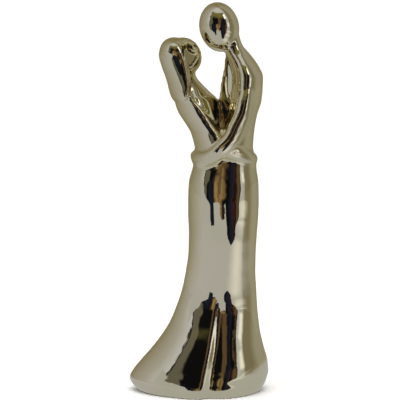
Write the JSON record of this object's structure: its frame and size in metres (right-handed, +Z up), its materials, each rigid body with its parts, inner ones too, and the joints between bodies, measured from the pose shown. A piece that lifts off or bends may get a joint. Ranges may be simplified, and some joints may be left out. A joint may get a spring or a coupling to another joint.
{
  "type": "ceramic couple figurine",
  "caption": "Tall ceramic ornament of a standing couple in an embrace, faceless and slender, with one flowing gown down to a flat base and a warm mirror glaze.",
  "frame": {"origin": "on the surface the figurine stands on, under the middle of its bounding box", "axes": "+Z up along the figures, +X from the woman to the man, -Y towards the side the picture shows"},
  "size_m": [0.1078, 0.0762, 0.3],
  "materials": {
    "plated_glaze": "polished pale gold metal glaze over ceramic"
  },
  "bodies": {
    "root": {"couple_figurine": "plated_glaze"}
  },
  "joints": []
}
